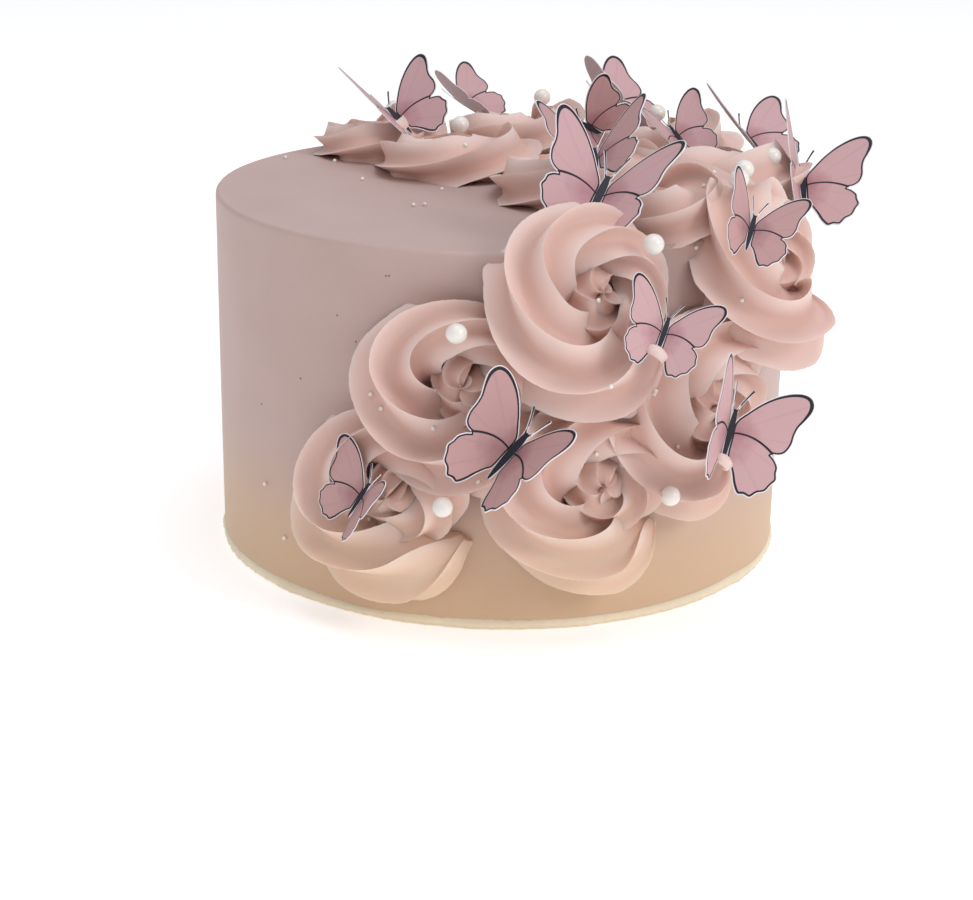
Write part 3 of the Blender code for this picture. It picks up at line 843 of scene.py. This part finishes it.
def wing_template():
    """The right wing pair as a flat piece with its thickness, in millimetres."""
    count = 132
    deselect()
    bpy.ops.mesh.primitive_circle_add(vertices=count, radius=10, fill_type="NGON")
    wing = bpy.context.object
    for vert, (x, y) in zip(wing.data.vertices, smooth_loop(OUTLINE, count)):
        vert.co = (x, y, 0)
    shape = bmesh.new()
    shape.from_mesh(wing.data)
    bmesh.ops.recalc_face_normals(shape, faces=shape.faces)
    if shape.faces[:][0].normal.z < 0:
        bmesh.ops.reverse_faces(shape, faces=shape.faces)
    shape.to_mesh(wing.data)
    shape.free()
    for material in CARD_SLOTS:
        wing.data.materials.append(material)
    for thickness, inner in ((WHITE_MARGIN, INK), (BLACK_LINE, PRINT)):
        bpy.ops.object.mode_set(mode="EDIT")
        bpy.ops.mesh.select_all(action="DESELECT")
        bpy.ops.object.mode_set(mode="OBJECT")
        middle = max(wing.data.polygons, key=lambda face: face.area)
        middle.select = True
        bpy.ops.object.mode_set(mode="EDIT")
        bpy.ops.mesh.inset(thickness=thickness, depth=0)
        bpy.ops.object.mode_set(mode="OBJECT")
        max(wing.data.polygons, key=lambda face: face.area).material_index = inner
    middle = max(wing.data.polygons, key=lambda face: face.area)
    inner_loop = set(middle.vertices)
    for face in wing.data.polygons:
        if face.index != middle.index:
            face.material_index = INK if inner_loop & set(face.vertices) else EDGE
    shape = bmesh.new()
    shape.from_mesh(wing.data)
    shape.verts.ensure_lookup_table()
    moves = {}
    for vert in (shape.verts[i] for i in inner_loop):
        outer = [e.other_vert(vert) for e in vert.link_edges if e.other_vert(vert).index not in inner_loop]
        way = (vert.co - outer[0].co).normalized()
        moves[vert] = way * float(ink_extra(vert.co.x, vert.co.y))
    for vert, move in moves.items():
        vert.co += move
    for cut in (3, 6, 9, 12, 15, 18):
        whole = shape.verts[:] + shape.edges[:] + shape.faces[:]
        bmesh.ops.bisect_plane(shape, geom=whole, dist=1e-5, plane_co=(cut, 0, 0), plane_no=(1, 0, 0))
    bmesh.ops.triangulate(shape, faces=[f for f in shape.faces if len(f.verts) > 4])
    shape.to_mesh(wing.data)
    shape.free()
    solid = wing.modifiers.new("card", "SOLIDIFY")
    solid.thickness = CARD_THICK
    solid.offset = 0.0
    solid.material_offset = BACK
    solid.material_offset_rim = EDGE
    bpy.ops.object.modifier_apply(modifier="card")
    return wing


def read_template(piece):
    """Points, faces and slots of a piece, as arrays."""
    points = np.array([v.co for v in piece.data.vertices])
    faces = [tuple(face.vertices) for face in piece.data.polygons]
    slots = [min(face.material_index, BACK) for face in piece.data.polygons]
    return points, faces, slots


wing = wing_template()
wing_points, wing_faces, wing_slots = read_template(wing)
bpy.data.objects.remove(wing)
print("one wing pair has", len(wing_faces), "faces")

# %% [markdown]
# ## Lines, feelers and body
# The line between the two wings, the feelers and the body are narrow closed ribbons. The black ones lie
# on the card, and the feelers and the body have a wider white ribbon under them, as they are cut out
# of the same card.

# %% Ribbons
def ribbon(line, half, level, slot, thick=0.05):
    """A narrow closed strip along a flat line of points, in millimetres."""
    line = np.array(line, float)
    heading = np.gradient(line, axis=0)
    heading /= np.linalg.norm(heading, axis=1)[:, None]
    aside = np.stack([-heading[:, 1], heading[:, 0]], axis=1)
    half = np.broadcast_to(half, (len(line),))[:, None]
    rows = []
    for side, up in ((-1, -thick / 2), (1, -thick / 2), (1, thick / 2), (-1, thick / 2)):
        flat = line + side * half * aside
        rows.append(np.column_stack([flat, np.full(len(line), level + up)]))
    points = np.concatenate(rows)
    n = len(line)
    faces = []
    for a, b in ((0, 1), (1, 2), (2, 3), (3, 0)):
        for i in range(n - 1):
            faces.append((a * n + i, a * n + i + 1, b * n + i + 1, b * n + i))
    faces.append((0, n, 2 * n, 3 * n))
    faces.append((3 * n + n - 1, 2 * n + n - 1, n + n - 1, n - 1))
    return points, faces, [slot] * len(faces)


t = np.linspace(0, 1, 14)
divide = np.stack([1.0 + 11.8 * t, 0.3 + 3.4 * t * (1 - t) - 2.5 * t**2], axis=1)
half_parts = [
    (wing_points, wing_faces, wing_slots),
    ribbon(divide, 0.22 + 0.1 * t, 0.17, INK),
]
feeler_line = np.stack([0.5 + 3.4 * t**1.3, 5.6 + 7.4 * t], axis=1)
half_parts += [
    ribbon(feeler_line, 0.32, 0.0, EDGE, CARD_THICK),
    ribbon(feeler_line, 0.17 + 0.12 * t**6, 0.17, INK),
]
body_line = np.stack([0 * t, 6.6 - 15.6 * t], axis=1)
plump = np.sqrt(np.clip(np.sin(pi * np.clip(t * 0.92 + 0.05, 0, 1)), 0, 1))
body_half = 1.25 * plump * (1 - 0.45 * t)
bodies = [
    ribbon(body_line, body_half + 0.2, 0.0, EDGE, 0.34),
    ribbon(body_line, body_half, 0.2, INK, 0.3),
]
print("parts of half a butterfly:", len(half_parts), "and of its body:", len(bodies))

# %% [markdown]
# ## Setting the butterflies
# Each butterfly is folded along its body, so both wings stand up from it. On the real cake it is pushed
# tail first into the cream. Every copy has its own mesh, folded and turned in code to the place its solid
# has. Three of them end about 1 mm short of the drawn cream there, and butterfly_side_high stands clear
# of it by nearly 10 mm, which is a fault of this dressing still to be put right.

# %% Butterflies
# name: centre in millimetres, then where the head points, how steeply, the roll about the body and the
# fold of a wing, all in degrees, and the size as a share of the template's
BUTTERFLIES = {
    "butterfly_back_left": ((-32, 45, 110), -147, 21, -5, 40, 0.95),
    "butterfly_far_left": ((-12, 76, 109), -112, 27, 0, 37, 0.70),
    "butterfly_front_top": ((24, -61, 110), 155, 34, 16, 34, 1.02),
    "butterfly_second_top": ((24, -29, 113), -179, 16, -5, 38, 0.94),
    "butterfly_third_top": ((25, 22, 112), -43, 26, -80, 40, 0.80),
    "butterfly_far_top": ((33, 51, 113), -114, 36, 9, 33, 0.88),
    "butterfly_right_top": ((49, 11, 112), -129, 44, -14, 29, 0.64),
    "butterfly_far_right": ((70, 18, 110.6), -149, 29, 14, 29, 0.83),
    "butterfly_edge_right": ((83, -4, 102), 178, 36, 30, 41, 1.00),
    "butterfly_side_high": ((60, -79, 106), 160, 42, 35, 36, 0.66),
    "butterfly_side_middle": ((39, -91, 83), 150, 51, 35, 23, 0.66),
    "butterfly_side_right": ((57, -84, 56), 154, 54, 60, 33, 0.94),
    "butterfly_side_front": ((3, -99, 55), 104, 48, 50, 43, 0.93),
    "butterfly_side_left": ((-34, -89, 39), 88, 59, 37, 26, 0.67),
}


def card_turn(azimuth, rise, roll):
    """The card's own right, head and face directions in the world."""
    azimuth, rise = radians(azimuth), radians(rise)
    head = Vector((sin(azimuth) * cos(rise), -cos(azimuth) * cos(rise), sin(rise)))
    level = head.cross(Vector((0, 0, 1))).normalized()
    face = Matrix.Rotation(radians(roll), 3, head) @ level.cross(head)
    return head.cross(face), head, face


BODY_EDGE = 1.1


def folded(points, fold, side):
    """Flat points folded up about the body's edge on one side, with a slight curl to the tip."""
    x = np.maximum(points[:, 0] - BODY_EDGE, 0)
    z = points[:, 2] + 0.9 * (x / 19) ** 2
    inner = np.minimum(points[:, 0], BODY_EDGE)
    out = inner + x * cos(fold) - z * sin(fold) * (x > 0)
    up = x * sin(fold) + z * np.where(x > 0, cos(fold), 1.0)
    return np.stack([side * out, points[:, 1], up], axis=1)


for name, (centre, azimuth, rise, roll, fold, scale) in BUTTERFLIES.items():
    right, head, face = card_turn(azimuth, rise, roll)
    turn = np.array([right, head, face])
    points, faces, slots, flats = [], [], [], []
    count = 0
    for side in (1, -1):
        for part_points, part_faces, part_slots in half_parts + (bodies if side == 1 else []):
            bent = folded(part_points, radians(fold), side)
            points.append(bent)
            flats.append(part_points[:, :2] * (side, 1) / 20)
            for corner in part_faces:
                corner = corner if side == 1 else corner[::-1]
                faces.append(tuple(count + i for i in corner))
            slots += part_slots
            count += len(part_points)
    points = np.concatenate(points) * scale
    flats = np.concatenate(flats)
    placed = (np.array(centre) + points @ turn) * MM
    piece = mesh_piece(placed, faces, name)
    for material in CARD_SLOTS:
        printed = name in DEEP_ONES and material == pale_print
        piece.data.materials.append(deep_print if printed else material)
    piece.data.polygons.foreach_set("material_index", slots)
    layer = piece.data.uv_layers.new(name="flat")
    for loop in piece.data.loops:
        layer.data[loop.index].uv = flats[loop.vertex_index]
    outward(piece)
    settle(piece, "card_" + name, "card", name)

# %% [markdown]
# ## Curls of cream over the tails
# Three butterflies were pushed in so far that the cream closed over the tail. A short roll of cream
# bends over each of those tails, thick in the middle and thin at both ends. It is laid out in rings of
# points and closed in the same way as the rosettes' rope.

# %% Curls
CURLED = ("butterfly_front_top", "butterfly_side_middle", "butterfly_side_right")
CURL_WIDTH = 2.1
CURL_THICK = 0.95


def bent_roll(name, middle, across, up, along, width, thick):
    """A roll of cream bent in an arch over a place, as a closed mesh, in millimetres."""
    steps, around = 22, 16
    points = []
    for i in range(steps):
        share = i / (steps - 1)
        swing = radians(-35 + 250 * share)
        spot = middle + across * width * cos(swing) + up * width * 0.8 * sin(swing)
        spot = spot + along * 1.2 * (share - 0.5)
        outward_way = across * cos(swing) + up * sin(swing)
        size = thick * (0.35 + 0.65 * sin(pi * min(max(share, 0.02), 0.98)) ** 0.6)
        for j in range(around):
            turn_by = tau * j / around
            wobble = 1 + 0.12 * sin(3 * turn_by + 5 * share)
            ring_way = outward_way * cos(turn_by) + along * 1.5 * sin(turn_by)
            points.append(spot + ring_way * size * wobble)
    first_end = (points[0] + points[around // 2]) * 0.5
    last_end = (points[-1] + points[-1 - around // 2]) * 0.5
    points += [first_end, last_end]
    return mesh_piece(np.array(points) * MM, rope_faces(steps, around), name)


for name in CURLED:
    centre, azimuth, rise, roll, fold, scale = BUTTERFLIES[name]
    right, head, face = (np.array(way) for way in card_turn(azimuth, rise, roll))
    tail_spot = np.array(centre) - head * 8.2 * scale
    piece = bent_roll(name, tail_spot, right, face, head, CURL_WIDTH, CURL_THICK)
    outward(piece)
    mark_painted_light(piece, np.ones(len(piece.data.vertices)))
    piece.data.materials.append(piped_cream)
    piece.data.shade_smooth()
    settle(piece, "curl_over_" + name, "piped")

# %% [markdown]
# ## Tiny sugar beads and specks
# White sugar beads 1.2 mm across stuck where they fell: a few on the flat top, a few on the coat and more
# on the piping. Those on the side are brought straight up to the finished surface, so they touch it.
# Those on the upper rosettes are strewn by chance, with a fixed seed, so that they fall in the same
# places each time. A bead is so small that a few faces make it round. A few darker specks of dried cream
# sit in the coat.

# %% Beads
def surface_tree(kinds):
    """One search tree over the finished pieces whose names start so."""
    points, faces = [], []
    for piece in bpy.context.scene.objects:
        if piece.type == "MESH" and piece.name.startswith(kinds):
            start = len(points)
            points += [v.co[:] for v in piece.data.vertices]
            faces += [tuple(start + i for i in face.vertices) for face in piece.data.polygons]
    return BVHTree.FromPolygons(points, faces)


def on_the_side(azimuth, height):
    """Where a straight line from outside meets the cream, and the way that line came, outward."""
    way = Vector((sin(radians(azimuth)), -cos(radians(azimuth)), 0))
    return cream_tree.ray_cast(way * 0.14 + Vector((0, 0, height * MM)), -way)[0], way


def small_balls(spots, radius, name, material, segments=8, rings=6):
    """Little spheres at the spots, joined in one mesh. Spots and radius are in metres."""
    shape = bmesh.new()
    for spot in spots:
        bmesh.ops.create_uvsphere(
            shape, u_segments=segments, v_segments=rings, radius=radius, matrix=Matrix.Translation(spot)
        )
    mesh = bpy.data.meshes.new(name)
    shape.to_mesh(mesh)
    shape.free()
    piece = bpy.data.objects.new(name, mesh)
    bpy.context.scene.collection.objects.link(piece)
    mesh.materials.append(material)
    mesh.shade_smooth()
    return piece


cream_tree = surface_tree(("piped_", "coat"))
BEAD_RADIUS = 0.6
BEAD_OUT = 0.4
TOP_BEAD_HEIGHT = 99.3
BEADS_ON_TOP = ((-65, 37), (-50, 33), (-40, 7), (-17, -5), (-24, -26), (-21, -25))
BEADS_ON_COAT = ((-51, 28), (-45, 15))
BEADS_ON_PIPING = (
    (-20, 71), (-21, 64), (-19, 61), (-10, 58), (-19, 53), (-3, 45), (15, 90), (15, 72), (25, 66),
    (-22, 30), (30, 50), (33, 48), (34, 37), (25, 65), (16, 50), (21, 84), (37, 98), (41, 86),
)
MOST_BEADS = 50
beads = []
for x, y in BEADS_ON_TOP:
    beads.append(Vector((x * MM, y * MM, TOP_BEAD_HEIGHT * MM)))
for azimuth, height in BEADS_ON_COAT + BEADS_ON_PIPING:
    hit, way = on_the_side(azimuth, height)
    beads.append(hit + way * BEAD_OUT * MM)
chance = np.random.default_rng(7)
for _ in range(70):
    x, y = chance.uniform(-60, 78), chance.uniform(-60, 75)
    hit, normal, _, _ = cream_tree.ray_cast(Vector((x * MM, y * MM, 0.2)), Vector((0, 0, -1)))
    if hit and hit.z > 0.103 and normal.z > 0.55 and len(beads) < MOST_BEADS:
        beads.append(hit + Vector((0, 0, BEAD_OUT * MM)))
bead_piece = small_balls(beads, BEAD_RADIUS * MM, "sugar_beads", pearl_sugar)
settle(bead_piece, "sugar_beads", "pearl")

# Dried cream: matt brown crumbs that the scraper caught.
speck_crust, tree, shader, _ = new_material("dried cream speck")
shader.inputs["Base Color"].default_value = linear("#9a6a4c")
shader.inputs["Roughness"].default_value = 0.7
SPECK_RADIUS = 0.3
SPECKS = ((-20.9, 92), (-20.3, 92.1), (-31, 80), (-27, 74), (-40, 61), (-52, 50), (-24, 62), (-35, 45))
spots = []
for azimuth, height in SPECKS:
    hit, way = on_the_side(azimuth, height)
    spots.append(hit - way * 0.12 * MM)
speck_piece = small_balls(spots, SPECK_RADIUS * MM, "specks", speck_crust)
settle(speck_piece, "coat_specks", "coat")
